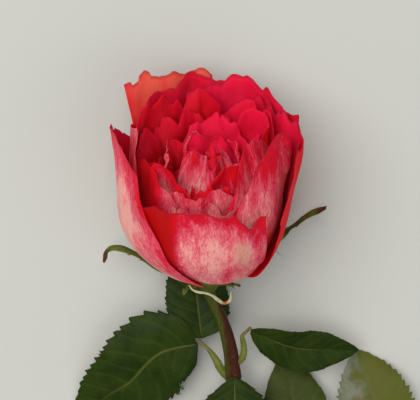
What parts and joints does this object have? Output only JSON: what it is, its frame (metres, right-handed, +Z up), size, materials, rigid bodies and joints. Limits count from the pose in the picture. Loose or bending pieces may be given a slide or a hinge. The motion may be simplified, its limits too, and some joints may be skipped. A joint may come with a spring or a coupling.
{
  "type": "cut rose",
  "caption": "Cut rose with one full, cup-shaped bloom of many overlapping petals, lying on its side with sepals, a slender stem and toothed compound leaves.",
  "frame": {"origin": "middle of the bottom of the bounding box, on the surface the flower lies on", "axes": "+Z up from the surface, +Y from the cut end of the stem towards the bloom, +X towards the side of the right-hand leaves, seen from above with the bloom at the top"},
  "size_m": [0.1652, 0.3098, 0.0678],
  "materials": {
    "petals": "soft, satin; deep red inside, pale pink with red veins outside",
    "sepals": "matt green",
    "receptacle": "smooth green",
    "stem": "smooth skin, green to red-brown",
    "leaf_stalks": "smooth olive green",
    "leaf_blades": "waxy dark green",
    "filament": "dry and pale"
  },
  "bodies": {
    "root": {"bract_filament": "filament", "leaf_front_leaflet": "leaf_blades", "leaf_left_lower_leaflet_a": "leaf_blades", "leaf_left_lower_leaflet_b": "leaf_blades", "leaf_left_lower_leaflet_end": "leaf_blades", "leaf_left_lower_stalk": "leaf_stalks", "leaf_left_upper_leaflet_end": "leaf_blades", "leaf_left_upper_leaflet_side": "leaf_blades", "leaf_left_upper_stalk": "leaf_stalks", "leaf_right_lower_leaflet_a": "leaf_blades", "leaf_right_lower_leaflet_b": "leaf_blades", "leaf_right_lower_leaflet_c": "leaf_blades", "leaf_right_lower_leaflet_end": "leaf_blades", "leaf_right_lower_stalk": "leaf_stalks", "leaf_right_upper_leaflet": "leaf_blades", "leaf_right_upper_stalk": "leaf_stalks", "petal_01": "petals", "petal_02": "petals", "petal_03": "petals", "petal_04": "petals", "petal_05": "petals", "petal_06": "petals", "petal_07": "petals", "petal_08": "petals", "petal_09": "petals", "petal_10": "petals", "petal_11": "petals", "petal_12": "petals", "petal_13": "petals", "petal_14": "petals", "petal_15": "petals", "petal_16": "petals", "petal_17": "petals", "petal_18": "petals", "petal_19": "petals", "petal_20": "petals", "petal_21": "petals", "petal_22": "petals", "petal_23": "petals", "petal_24": "petals", "petal_25": "petals", "petal_26": "petals", "petal_27": "petals", "petal_28": "petals", "petal_29": "petals", "petal_30": "petals", "petal_31": "petals", "petal_32": "petals", "petal_33": "petals", "petal_34": "petals", "petal_35": "petals", "petal_36": "petals", "receptacle": "receptacle", "sepal_front_left": "sepals", "sepal_front_right": "sepals", "sepal_left": "sepals", "sepal_right": "sepals", "sepal_under": "sepals", "stem": "stem"}
  },
  "joints": []
}
